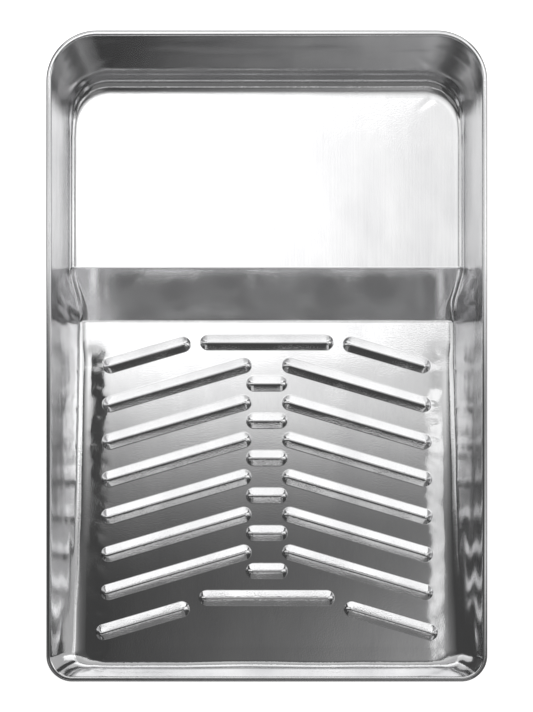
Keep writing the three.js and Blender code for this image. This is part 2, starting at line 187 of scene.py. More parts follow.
# ---------------------------------------------------------------- lengthwise profile
def fillet_arc(corner, slope_before, slope_after, radius):
    """The arc that rounds a corner between two slopes: start, end and centre as (y, z), and 1 if hollow."""
    before, after = math.atan(slope_before), math.atan(slope_after)
    run = radius * math.tan(abs(after - before) / 2)
    start = corner - run * np.array([math.cos(before), math.sin(before)])
    end = corner + run * np.array([math.cos(after), math.sin(after)])
    side = 1 if after > before else -1
    centre = start + side * radius * np.array([-math.sin(before), math.cos(before)])
    return start, end, centre, side


RAMP_TOP = np.array([RAMP_START, RAMP_START_HEIGHT])
STEP_FOOT = np.array([WELL_END, SHEET])
STEP_SLOPE = (STEP_FOOT[1] - RAMP_TOP[1]) / (STEP_FOOT[0] - RAMP_TOP[0])
TOP_ARC = fillet_arc(RAMP_TOP, -RAMP_SLOPE, STEP_SLOPE, STEP_FILLET)
FOOT_ARC = fillet_arc(STEP_FOOT, STEP_SLOPE, 0, STEP_FILLET)


def ramp_height(y):
    return RAMP_START_HEIGHT + (RAMP_START - y) * RAMP_SLOPE


def floor_height(y):
    """Height of the upper face at y, without ridges: well, step and ramp with rounded corners."""
    height = np.where(y < RAMP_START, ramp_height(y), RAMP_START_HEIGHT + (y - RAMP_START) * STEP_SLOPE)
    height = np.where(y > WELL_END, SHEET, height)
    for start, end, centre, side in (TOP_ARC, FOOT_ARC):
        on_arc = (y > start[0]) & (y < end[0])
        reach = np.clip(STEP_FILLET**2 - (y - centre[0]) ** 2, 0, None)
        height = np.where(on_arc, centre[1] - side * np.sqrt(reach), height)
    return height


def step_share(y):
    """0 on the ramp, 1 in the well, and between the two on the step."""
    return smoothstep(y, STEP_BLEND_START, WELL_END)


# ---------------------------------------------------------------- plan outlines
class Outline:
    """A rounded rectangle whose half width may change along Y."""

    def __init__(self, half_width, front, rear, front_radius, rear_radius):
        self.half_width = half_width
        self.front, self.rear = front, rear
        self.front_radius, self.rear_radius = front_radius, rear_radius

    def crossing(self, rows):
        """Where each row crosses the outline: y, and the half width there."""
        kind, value = rows
        front = kind == FRONT_ARC
        radius = np.where(front, self.front_radius, self.rear_radius)
        centre = np.where(front, self.front + radius, self.rear - radius)
        y = np.where(kind == SIDE, value, centre + radius * np.sin(value))
        straight = self.half_width(y)
        return y, np.where(kind == SIDE, straight, straight - radius + radius * np.cos(value))


def base_half_width(y):
    return lerp(RAMP_HALF_WIDTH, WELL_HALF_WIDTH, step_share(y))


def floor_half_width(y):
    return base_half_width(y) - lerp(RAMP_SIDE_FILLET_RUN, WELL_SIDE_FILLET_RUN, step_share(y))


BEAD_OUTLINE = Outline(
    lambda y: np.full_like(y, HALF_WIDTH - BEAD_RADIUS),
    -HALF_LENGTH + BEAD_RADIUS,
    HALF_LENGTH - BEAD_RADIUS,
    FRONT_CORNER_RADIUS - BEAD_RADIUS,
    REAR_CORNER_RADIUS - BEAD_RADIUS,
)
BASE_OUTLINE = Outline(base_half_width, FRONT_BASE, REAR_BASE, FRONT_BASE_RADIUS, REAR_BASE_RADIUS)
FLOOR_OUTLINE = Outline(
    floor_half_width,
    FRONT_BASE + FRONT_FILLET_RUN,
    REAR_BASE - REAR_FILLET_RUN,
    FRONT_FLOOR_RADIUS,
    REAR_FLOOR_RADIUS,
)


def grid_rows():
    """The kind of each row across the pan, and its angle on a corner's arc or its y."""
    spans = (
        (SIDES_START, STEP_ROWS_START, ROW_SPACING),
        (STEP_ROWS_START, STEP_ROWS_END, STEP_ROW_SPACING),
        (STEP_ROWS_END, SIDES_END, ROW_SPACING),
    )
    sides = [np.linspace(a, b, round((b - a) / gap), endpoint=False) for a, b, gap in spans]
    front = np.linspace(-math.pi / 2, 0, FRONT_ARC_STEPS + 1)
    rear = np.linspace(0, math.pi / 2, REAR_ARC_STEPS + 1)
    values = [front, *sides, [SIDES_END], rear]
    kinds = [FRONT_ARC, SIDE, SIDE, SIDE, SIDE, REAR_ARC]
    kind = np.concatenate([np.full(len(v), k) for k, v in zip(kinds, values)])
    return kind, np.concatenate(values)


ROWS = grid_rows()
LAST_ROW = len(ROWS[0]) - 1
SHARES = np.linspace(-1, 1, COLUMNS + 1)


# ---------------------------------------------------------------- gentle unevenness of the pressed sheet
def waves(points, scale, height, start):
    """Smooth noise between -height and height at each point, with its own scale along each axis."""
    spots = points / np.array(scale) + start
    return height * np.array([noise.noise(Vector(spot)) for spot in spots])


def bell(distance, width):
    return np.exp(-((distance / width) ** 2))


def corner_pinches(plan):
    """Small creases in the well's floor, where the sheet was drawn round the rear corners."""
    rise = np.zeros(len(plan))
    for side in (-1, 1):
        offset = plan - (side * PINCH_X, PINCH_Y)
        along = (side * offset[:, 0] + offset[:, 1]) / math.sqrt(2)
        across = (side * offset[:, 0] - offset[:, 1]) / math.sqrt(2)
        depth = PINCH_DEPTH * bell(along - PINCH_LENGTH / 2, PINCH_LENGTH)
        shoulder = PINCH_SHOULDER_SHARE * bell(across, PINCH_SHOULDER_WIDTH * PINCH_WIDTH)
        rise += depth * (shoulder - bell(across, PINCH_WIDTH))
    return rise


def ramp_bow(plan):
    """The ramp bulges a little between the step and the front wall."""
    middle, half = (RAMP_START + RAMP_FRONT) / 2, (RAMP_START - RAMP_FRONT) / 2
    lengthwise = np.clip(1 - ((plan[:, 1] - middle) / half) ** 2, 0, None)
    crosswise = np.clip(1 - (plan[:, 0] / floor_half_width(plan[:, 1])) ** RAMP_BOW_POWER, 0, None)
    return RAMP_BOW * lengthwise * crosswise


def side_drop(plan):
    """The ramp turns down a little along its sides, from an uneven line; the turn fades near the step."""
    points = with_height(plan, 0)
    uneven = waves(points, *RAGGED_LINE) + waves(points, *FRAYED_LINE)
    across = smoothstep(np.abs(plan[:, 0]) + uneven, SIDE_DROP_START, SIDE_DROP_END)
    return -SIDE_DROP * across * smoothstep(-plan[:, 1], -SIDE_DROP_FADE_START, -SIDE_DROP_FADE_END)


def floor_rise(plan):
    """How far the pressed floor and ramp stray from their plain shape, upwards."""
    long_waves = waves(with_height(plan, 0), *FLOOR_WAVE)
    return long_waves + corner_pinches(plan) + ramp_bow(plan) + side_drop(plan)


def wall_shift(points, share):
    """How far each point of a wall strays outwards; share runs from 0 at its foot to 1 at the rim."""
    side = waves(points, *SIDE_FOLD) + waves(points, *SIDE_PLEAT) + waves(points, *SIDE_SWELL)
    back = waves(points, *BACK_WAVE) * smoothstep(share, BACK_WAVE_LOW, BACK_WAVE_HIGH)
    at_back = smoothstep(points[:, 1], BACK_WALL_START, BACK_WALL_FULL)
    _, crease_height, _ = CREASE
    creases = crease_height - 2 * np.abs(waves(points, *CREASE))
    near_step = bell(points[:, 1] - (RAMP_START + WELL_END) / 2, CREASE_REACH)
    shift = lerp(side, back, at_back) + creases * near_step
    return shift * np.sin(math.pi * share) ** WALL_FADE_POWER


# ---------------------------------------------------------------- walls and rolled rim
def perimeter():
    """The grid's edge, counter-clockwise from above: column and row of each node, and the way outwards."""
    last = COLUMNS
    column = np.concatenate([
        np.arange(last), np.full(LAST_ROW, last), np.arange(last, 0, -1), np.zeros(LAST_ROW, int)
    ])
    row = np.concatenate([
        np.zeros(last, int), np.arange(LAST_ROW), np.full(last, LAST_ROW), np.arange(LAST_ROW, 0, -1)
    ])
    kind, value = ROWS[0][row], ROWS[1][row]
    angle = np.where(kind == SIDE, 0.0, value)
    side = np.where(column == 0, -1.0, 1.0)
    outward = np.stack([side * np.cos(angle), np.sin(angle)], axis=1)
    inner = (column > 0) & (column < last)
    outward[inner] = np.stack([np.zeros(inner.sum()), np.where(row[inner] == 0, -1.0, 1.0)], axis=1)
    return column, row, outward


def outline_points(outline, column, row):
    y, half_width = outline.crossing(ROWS)
    return np.stack([SHARES[column] * half_width[row], y[row]], axis=1)


def with_height(plan, height):
    return np.column_stack([plan, np.broadcast_to(height, len(plan))])


def lengths(vectors):
    return np.linalg.norm(vectors, axis=1, keepdims=True)


def conic(start, corner, end, steps):
    """Circular arcs from start to end whose tangents meet at corner, one row of points per step."""
    to_start = (start - corner) / lengths(start - corner)
    to_end = (end - corner) / lengths(end - corner)
    cosine = np.clip((to_start * to_end).sum(axis=1, keepdims=True), -1, 1)
    weight = np.sin(np.arccos(cosine) / 2)
    arcs = []
    for t in np.linspace(0, 1, steps + 1)[1:]:
        s = 1 - t
        middle = 2 * weight * s * t
        arcs.append((start * s * s + corner * middle + end * t * t) / (s * s + middle + t * t))
    return arcs


class Bead:
    """The rolled rim, round a centre line that goes round the pan."""

    def __init__(self, centre, outward):
        self.centre, self.outward = centre, outward

    def at(self, angle):
        """The rim's upper face at an angle for each point: 0 is outermost, a quarter turn is the top."""
        side = BEAD_RADIUS * np.cos(angle)[:, None] * self.outward
        return self.centre + np.column_stack([side, BEAD_RADIUS * np.sin(angle)])

    def touch_angle(self, base, reach):
        """Where a straight wall that starts at its base meets the rim smoothly."""
        rise = self.centre[:, 2] - base[:, 2]
        slope = np.arctan2(rise, reach) + np.arcsin(BEAD_RADIUS / np.hypot(rise, reach))
        return slope + math.pi / 2


def plain_wall(floor_edge, base, top):
    """Rings up a wall with no unevenness: a fillet off the floor, then straight; and its direction."""
    wall = (top - base) / lengths(top - base)
    fillet_top = base + wall * lengths(floor_edge - base)
    rings = conic(floor_edge, base, fillet_top, FILLET_STEPS)
    for share in np.linspace(0, 1, WALL_STEPS + 1)[1:-1]:
        rings.append(lerp(fillet_top, top, share))
    return rings, wall


def uneven_wall(rings, floor_edge, base, top, across, outward):
    """The same rings, moved across the wall by its flare and its folds."""
    path = [floor_edge, *rings, top]
    runs = np.cumsum([lengths(b - a)[:, 0] for a, b in zip(path, path[1:])], axis=0)
    flare = WALL_FLARE * runs[-1] * (1 - step_share(base[:, 1])) * outward[:, 0] ** 2
    moved = []
    for ring, run in zip(rings, runs):
        share = run / runs[-1]
        shift = wall_shift(ring, share) + flare * np.sin(math.pi * share)
        moved.append(ring + across * shift[:, None])
    return moved


def wall_rings():
    """Rings of points from just outside the floor's edge, up the wall and round the rolled rim."""
    column, row, outward = perimeter()
    floor_plan = outline_points(FLOOR_OUTLINE, column, row)
    base_plan = outline_points(BASE_OUTLINE, column, row)
    centre_plan = outline_points(BEAD_OUTLINE, column, row)
    floor_edge = with_height(floor_plan, floor_height(floor_plan[:, 1]) + floor_rise(floor_plan))
    base = with_height(base_plan, floor_height(base_plan[:, 1]))
    bead = Bead(with_height(centre_plan, HEIGHT - BEAD_RADIUS), outward)
    reach = ((centre_plan - base_plan) * outward).sum(axis=1)
    start_angle = bead.touch_angle(base, reach)
    top = bead.at(start_angle)
    rings, wall = plain_wall(floor_edge, base, top)
    across = np.column_stack([wall[:, 2:] * outward, -(wall[:, :2] * outward).sum(axis=1)])
    rings = uneven_wall(rings, floor_edge, base, top, across, outward)
    for share in np.linspace(0, 1, CURL_STEPS + 1):
        rings.append(bead.at(lerp(start_angle, BEAD_END_ANGLE, share)))
    return rings


# ---------------------------------------------------------------- pressed ridges
def ridge_layout():
    """Each ridge as its middle (x, y), its length over the round ends, and its turn about Z."""
    ridges = [(0, TOP_BAR_Y, END_BAR_LENGTH, 0), (0, BOTTOM_BAR_Y, END_BAR_LENGTH, 0)]
    for k in range(RIDGE_ROWS):
        ridges.append((0, FIRST_SHORT_BAR - k * RIDGE_PITCH, SHORT_BAR_LENGTH, 0))
    slanted = [
        (END_RIDGE_INNER_X, TOP_BAR_Y, RIDGE_OUTER_X),
        (END_RIDGE_INNER_X, BOTTOM_RIDGE_Y, BOTTOM_RIDGE_OUTER_X),
    ]
    for k in range(RIDGE_ROWS):
        slanted.append((LONG_RIDGE_INNER_X, FIRST_LONG_RIDGE - k * RIDGE_PITCH, RIDGE_OUTER_X))
    for inner_x, inner_y, outer_x in slanted:
        run = outer_x - inner_x
        for side in (-1, 1):
            middle = (side * (inner_x + run / 2), inner_y - run / 2 * math.tan(RIDGE_SLANT))
            ridges.append((*middle, run / math.cos(RIDGE_SLANT), -side * RIDGE_SLANT))
    return ridges


def ridge_height(ratio, endness):
    """Height of a ridge above the ramp, from its crest (ratio 0) to its foot (ratio 1) and beyond.

    Its sides are nearly flat, like a roof's; its ends (endness 1) are rounded.
    """
    eased = np.hypot(ratio, RIDGE_CREST_ROUNDING) - RIDGE_CREST_ROUNDING
    height = RIDGE_HEIGHT * (1 - eased ** lerp(RIDGE_SIDE_CROWN, RIDGE_END_CROWN, endness))
    blend = np.clip(0.5 + 0.5 * height / RIDGE_FOOT_ROUNDING, 0, 1)
    return height * blend + RIDGE_FOOT_ROUNDING * blend * (1 - blend)


def ridge_rings(x, y, length, turn):
    """Rings of plan points round a ridge's spine, widest first, then the points along the spine."""
    half = length / 2 - RIDGE_HALF_WIDTH
    spans = max(2, round(2 * half / RIDGE_SPACING))
    along = np.linspace(-half, half, spans + 1)
    turns = np.linspace(-math.pi / 2, math.pi / 2, RIDGE_END_STEPS + 1)[1:-1]
    rings = []
    for ratio in RIDGE_RINGS:
        radius = ratio * RIDGE_HALF_WIDTH
        near = np.column_stack([along, np.full_like(along, -radius)])
        right = np.column_stack([half + radius * np.cos(turns), radius * np.sin(turns)])
        rings.append(np.vstack([near, right, -near, -right]))
    spine = np.column_stack([along, np.zeros_like(along)])
    sides, ends = np.zeros_like(along), np.cos(turns) ** 2
    endness = np.concatenate([sides, ends, sides, ends])
    cosine, sine = math.cos(turn), math.sin(turn)
    spin = np.array([[cosine, sine], [-sine, cosine]])
    return [ring @ spin + (x, y) for ring in rings], spine @ spin + (x, y), endness


# ---------------------------------------------------------------- the upper face of the sheet
class Surface:
    """Points and faces gathered piece by piece."""

    def __init__(self):
        self.points = []
        self.faces = []
        self.count = 0

    def add(self, points):
        """Adds points and gives their numbers."""
        self.points.append(np.asarray(points, float))
        numbers = np.arange(self.count, self.count + len(points))
        self.count += len(points)
        return numbers

    def band(self, inner, outer):
        """Quads between two closed rings of numbers, inner ring counter-clockwise within outer."""
        following_inner, following_outer = np.roll(inner, -1), np.roll(outer, -1)
        self.faces += np.column_stack([inner, outer, following_outer, following_inner]).tolist()

    def all_points(self):
        return np.concatenate(self.points)


def ridge_faces(surface, outer_ring, rings, spine, endness):
    """Fills a ridge inside its outermost ring, whose points are in the surface already."""
    ring = outer_ring
    for plan, ratio in zip(rings[1:], RIDGE_RINGS[1:]):
        height = ramp_height(plan[:, 1]) + ridge_height(ratio, endness) + floor_rise(plan)
        following = surface.add(with_height(plan, height))
        surface.band(following, ring)
        ring = following
    height = ramp_height(spine[:, 1]) + ridge_height(0, 0) + floor_rise(spine)
    crest = surface.add(with_height(spine, height))
    spans = len(spine)
    ends = len(ring) // 2 - spans
    near, far = ring[:spans], ring[spans + ends : 2 * spans + ends]
    right, left = ring[spans : spans + ends], ring[2 * spans + ends :]
    for a in range(spans - 1):
        surface.faces.append([near[a], near[a + 1], crest[a + 1], crest[a]])
        surface.faces.append([far[a], far[a + 1], crest[spans - 2 - a], crest[spans - 1 - a]])
    for fan, tip in (([near[-1], *right, far[0]], crest[-1]), ([far[-1], *left, near[0]], crest[0])):
        for a, b in zip(fan, fan[1:]):
            surface.faces.append([a, b, tip])


def distance_to_spine(points, x, y, length, turn):
    half = length / 2 - RIDGE_HALF_WIDTH
    direction = np.array([math.cos(turn), math.sin(turn)])
    offset = points - (x, y)
    along = np.clip(offset @ direction, -half, half)
    return np.linalg.norm(offset - along[:, None] * direction, axis=1)


def on_ramp(plan):
    """Points of the uneven ramp between its ridges."""
    return with_height(plan, ramp_height(plan[:, 1]) + floor_rise(plan))


def ridged_block(plan):
    """First and last row and column of the block of grid cells that holds all the ridges."""
    row_y, column_x = plan[:, 0, 1], plan[LAST_ROW // 3, :, 0]
    rows = np.flatnonzero((row_y > PATCH_FRONT) & (row_y < RAMP_START - PATCH_MARGIN))
    columns = np.flatnonzero(np.abs(column_x) < BOTTOM_RIDGE_OUTER_X + PATCH_MARGIN)
    return rows[0], rows[-1], columns[0], columns[-1]


def block_edge(low_row, high_row, low_column, high_column):
    """The grid nodes round a block, counter-clockwise from above."""
    edge = [(low_row, i) for i in range(low_column, high_column)]
    edge += [(j, high_column) for j in range(low_row, high_row)]
    edge += [(high_row, i) for i in range(high_column, low_column, -1)]
    edge += [(j, low_column) for j in range(high_row, low_row, -1)]
    return edge


def ramp_patch(surface, grid, plan, block):
    """Fills a block of grid cells with the ridges, and with triangles between them."""
    low_row, high_row, low_column, high_column = block
    ridges = ridge_layout()
    edge = block_edge(*block)
    edge_plan = np.array([plan[spot] for spot in edge])
    inside = plan[low_row + 1 : high_row, low_column + 1 : high_column].reshape(-1, 2)
    clearance = RIDGE_RINGS[0] * RIDGE_HALF_WIDTH + PATCH_CLEARANCE
    for ridge in ridges:
        inside = inside[distance_to_spine(inside, *ridge) > clearance]
    numbers = [[grid[spot] for spot in edge], surface.add(on_ramp(inside))]
    flat = [edge_plan, inside]
    links = [(k, (k + 1) % len(edge)) for k in range(len(edge))]
    start, holes = len(edge_plan) + len(inside), []
    for ridge in ridges:
        rings, spine, endness = ridge_rings(*ridge)
        outer = surface.add(on_ramp(rings[0]))
        ridge_faces(surface, outer, rings, spine, endness)
        numbers.append(outer)
        flat.append(rings[0])
        holes.append(list(range(start, start + len(outer))))
        start += len(outer)
    numbers, flat = np.concatenate(numbers), np.concatenate(flat)
    in_mm = [Vector(point) for point in flat / MM]
    _, _, faces, originals, _, owners = delaunay_2d_cdt(in_mm, links, holes, 0, SAME_POINT)
    for face, owner in zip(faces, owners):
        if not owner:
            surface.faces.append([numbers[originals[k][0]] for k in face])


def upper_face():
    """The upper face of the sheet, and the ring at the end of its rolled rim."""
    surface = Surface()
    row_y, half_width = FLOOR_OUTLINE.crossing(ROWS)
    plan = np.stack(
        [half_width[:, None] * SHARES, np.broadcast_to(row_y[:, None], (LAST_ROW + 1, COLUMNS + 1))],
        axis=2,
    )
    flat = plan.reshape(-1, 2)
    height = floor_height(flat[:, 1]) + floor_rise(flat)
    grid = surface.add(with_height(flat, height)).reshape(plan.shape[:2])
    block = low_row, high_row, low_column, high_column = ridged_block(plan)
    ramp_patch(surface, grid, plan, block)
    for j in range(LAST_ROW):
        for i in range(COLUMNS):
            if not (low_row <= j < high_row and low_column <= i < high_column):
                surface.faces.append([grid[j, i], grid[j, i + 1], grid[j + 1, i + 1], grid[j + 1, i]])
    column, row, _ = perimeter()
    ring = grid[row, column]
    for points in wall_rings():
        following = surface.add(points)
        surface.band(ring, following)
        ring = following
    return surface, ring


def mesh_from(name, points, faces):
    """A smooth-shaded mesh; points that no face uses are left out."""
    faces = [np.array(face) for face in faces]
    used = np.zeros(len(points), bool)
    used[np.concatenate(faces)] = True
    renumber = np.cumsum(used) - 1
    mesh = bpy.data.meshes.new(name)
    mesh.from_pydata(points[used].tolist(), [], [renumber[face].tolist() for face in faces])
    mesh.polygons.foreach_set("use_smooth", [True] * len(mesh.polygons))
    mesh.update()
    return mesh


def point_normals(points, faces):
    """The smooth normal at each point, from a mesh that is thrown away again."""
    mesh = bpy.data.meshes.new("face")
    mesh.from_pydata(points.tolist(), [], [list(map(int, face)) for face in faces])
    normals = np.empty(len(points) * 3)
    mesh.vertices.foreach_get("normal", normals)
    bpy.data.meshes.remove(mesh)
    return normals.reshape(-1, 3)


def thickened(name, surface, edge, thickness):
    """Adds the sheet's lower face, nowhere below the floor, and the narrow strip along its edge."""
    points = surface.all_points()
    normals = point_normals(points, surface.faces)
    upward = normals[:, 2:]
    straight_down = [[0, 0, 1]] / np.clip(upward, STEEP_NORMAL, 1)
    lower = points - np.where(upward > STEEP_NORMAL, straight_down, normals) * thickness
    lower[:, 2] = np.maximum(lower[:, 2], 0)
    count = len(points)
    faces = surface.faces + [[count + k for k in reversed(face)] for face in surface.faces]
    following = np.roll(edge, -1)
    faces += np.column_stack([edge, edge + count, following + count, following]).tolist()
    return mesh_from(name, np.concatenate([points, lower]), faces)


# ---------------------------------------------------------------- the legs
def leg_centre_line():
    """Side view of a leg as (y, z) points: flange under the ramp, upright, foot and lip."""
    half = LEG_SHEET / 2
    under = (SHEET + WELD_GAP + half) / math.cos(math.atan(RAMP_SLOPE))
    flange_end, lip_y = LEG_UPRIGHT_Y + LEG_FLANGE_LENGTH, LEG_UPRIGHT_Y + LEG_FOOT_LENGTH
    corners = np.array([
        (flange_end, ramp_height(flange_end) - under),
        (LEG_UPRIGHT_Y, ramp_height(LEG_UPRIGHT_Y) - under),
        (LEG_UPRIGHT_Y, half),
        (lip_y, half),
        (lip_y, LEG_LIP_HEIGHT),
    ])[:, None]
    line = [corners[0]]
    for before, corner, after in zip(corners, corners[1:], corners[2:]):
        to_before = (before - corner) / lengths(before - corner)
        to_after = (after - corner) / lengths(after - corner)
        turn = math.pi - math.acos((to_before * to_after).sum())
        run = LEG_BEND_RADIUS * math.tan(turn / 2)
        start, end = corner + to_before * run, corner + to_after * run
        line += [start, *conic(start, corner, end, LEG_BEND_STEPS)]
    return np.concatenate([*line, corners[-1]])


def corner_cut(distance, radius):
    """How far a rounded corner stands in from the square one, at a distance from the strip's end."""
    left = np.clip(radius - distance, 0, radius)
    return radius - np.sqrt(radius**2 - left**2)


def leg_stations():
    """Places along the strip, close together where it bends or ends: y, z, its normal and distance run."""
    line = leg_centre_line()
    runs = np.concatenate([[0], np.cumsum(lengths(np.diff(line, axis=0)))])
    total = runs[-1]
    turns = 1 - np.cos(np.linspace(0, math.pi / 2, LEG_CORNER_STEPS + 1))
    close = np.concatenate([turns * LEG_EDGE_RADIUS, turns[turns > 0.2] * LEG_CORNER_RADIUS])
    regular = np.linspace(close[-1], total - close[-1], round((total - 2 * close[-1]) / LEG_SPACING))
    stations = np.unique(np.concatenate([close, regular, total - close]).round(7))
    place = np.column_stack([np.interp(stations, runs, axis) for axis in line.T])
    along = np.gradient(line, runs, axis=0)
    along = np.column_stack([np.interp(stations, runs, axis) for axis in along.T])
    along /= lengths(along)
    return place, np.column_stack([-along[:, 1], along[:, 0]]), stations, total - stations


def strip_section(half_width, half_sheet):
    """The strip's cross-section as (x, offset) points: one face, a round edge, the other face, an edge."""
    spans = round(LEG_TOP_WIDTH / LEG_SPACING)
    x = np.linspace(-1, 1, spans + 1) * (half_width - LEG_EDGE_RADIUS)
    turns = np.linspace(math.pi / 2, -math.pi / 2, 2 * LEG_EDGE_STEPS + 1)[1:-1]
    edge_x = x[-1] + LEG_EDGE_RADIUS * np.cos(turns)
    edge_offset = np.sign(np.sin(turns)) * (half_sheet - LEG_EDGE_RADIUS) + LEG_EDGE_RADIUS * np.sin(turns)
    face = np.column_stack([x, np.full_like(x, half_sheet)])
    edge = np.column_stack([edge_x, edge_offset])
    return np.vstack([face, edge, -face, -edge])


def leg_relief(x, z, distance, front):
    """How far the strip is pushed along its normal: by the stiffener, and by the weld marks on one face."""
    middle, half = (STIFFENER_LOW + STIFFENER_HIGH) / 2, (STIFFENER_HIGH - STIFFENER_LOW) / 2
    beyond = max(abs(z - middle) - half + STIFFENER_HALF_WIDTH, 0)
    flat = STIFFENER_FLAT_SHARE * STIFFENER_HALF_WIDTH
    stiffener = 1 - smoothstep(np.hypot(x, beyond), flat, STIFFENER_HALF_WIDTH)
    weld = bell(np.hypot(np.abs(x) - WELD_X, distance - WELD_TRAVEL), WELD_RADIUS) ** 2
    return STIFFENER_DEPTH * stiffener - WELD_DEPTH * np.where(front, weld, 0)


def leg_half_width(z, to_end):
    """Half the strip's width at a height, and at a distance from its nearer end, which is rounded."""
    widening = np.clip((z - LEG_TAPER_LOW) / (LEG_TAPER_HIGH - LEG_TAPER_LOW), 0, 1)
    return lerp(LEG_FOOT_WIDTH, LEG_TOP_WIDTH, widening) / 2 - corner_cut(to_end, LEG_CORNER_RADIUS)


def leg_rings(middle_x):
    """A ring of points round the strip at each station."""
    rings = []
    for place, normal, to_flange, to_lip in zip(*leg_stations()):
        to_end = min(to_flange, to_lip)
        half_sheet = LEG_SHEET / 2 - corner_cut(to_end, LEG_EDGE_RADIUS)
        x, offset = strip_section(leg_half_width(place[1], to_end), half_sheet).T
        no_stiffener = -LEG_TOP_WIDTH
        height = place[1] if normal[0] > LEG_UPRIGHT_NORMAL else no_stiffener
        push = leg_relief(x, height, to_flange, offset > 0)
        rings.append(np.column_stack([middle_x + x, place + normal * (offset + push)[:, None]]))
    return rings


def leg_mesh(name, middle_x):
    rings = leg_rings(middle_x)
    surface = Surface()
    numbers = surface.add(np.concatenate(rings)).reshape(-1, len(rings[0]))
    for ring, following in zip(numbers, numbers[1:]):
        surface.band(following, ring)
    surface.faces += [numbers[0][::-1].tolist(), numbers[-1].tolist()]
    return mesh_from(name, surface.all_points(), surface.faces)


# ---------------------------------------------------------------- materials
# The sizes of marks are lengths along X, Y and Z. A WINDOW is the part of a noise's range that counts.
SHEET_MOTTLE_SIZE, SHEET_MOTTLE_DEPTH = (0.85 * MM, 0.85 * MM, 0.85 * MM), 0.055 * MM
SHEET_PATCH_SIZE, SHEET_PATCH_WINDOW = (26 * MM, 34 * MM, 30 * MM), (0.42, 0.62)
SHEET_PATCH_SHARES = (0.25, 1)
SHEET_GRAIN_SIZE, SHEET_GRAIN_DEPTH = (0.8 * MM, 50 * MM, 0.8 * MM), 0.003 * MM
SHEET_SWELL_SIZE, SHEET_SWELL_DEPTH = (18 * MM, 40 * MM, 22 * MM), 0.04 * MM
SHEET_RUB_SIZE, SHEET_RUB_DEPTH = (0.5 * MM, 45 * MM, 45 * MM), 0.004 * MM
SHEET_RUB_TURN, SHEET_RUB_WINDOW = math.radians(-24), (0.6, 0.75)
SHEET_STAIN_SIZE = (30 * MM, 60 * MM, 30 * MM)
SHEET_CLEAN, SHEET_STAINED = (0.88, 0.88, 0.885), (0.76, 0.76, 0.77)
SHEET_STAIN_SHARE, SHEET_STREAK_SHARE = 0.8, 0.2
SHEET_ROUGHNESS, SHEET_STREAK_ROUGHNESS = (0.05, 0.11), 0.03
DRAWN_WALL_WINDOW, DRAWN_WALL_ROUGHNESS = (0.75, 0.95), 0.15

STRIP_GRAIN_SIZE, STRIP_GRAIN_DEPTH = (0.35 * MM, 40 * MM, 40 * MM), 0.006 * MM
STRIP_MOTTLE_SIZE, STRIP_MOTTLE_DEPTH = (2.5 * MM, 2.5 * MM, 2.5 * MM), 0.015 * MM
STRIP_SCUFF_SIZE, STRIP_SCUFF_DEPTH = (9 * MM, 0.6 * MM, 0.6 * MM), 0.01 * MM
STRIP_SCUFF_TURN, STRIP_SCUFF_WINDOW = math.radians(15), (0.62, 0.75)
STRIP_STAIN_SIZE = (14 * MM, 14 * MM, 20 * MM)
STRIP_CLEAN, STRIP_STAINED = (0.74, 0.74, 0.75), (0.58, 0.58, 0.59)
STRIP_ROUGHNESS, STRIP_MOTTLE_ROUGHNESS = (0.2, 0.34), 0.06

STAIN_WINDOW = (0.35, 0.7)
STREAK_WINDOW = (0.35, 0.65)
MOTTLE_WINDOW = (0.3, 0.7)


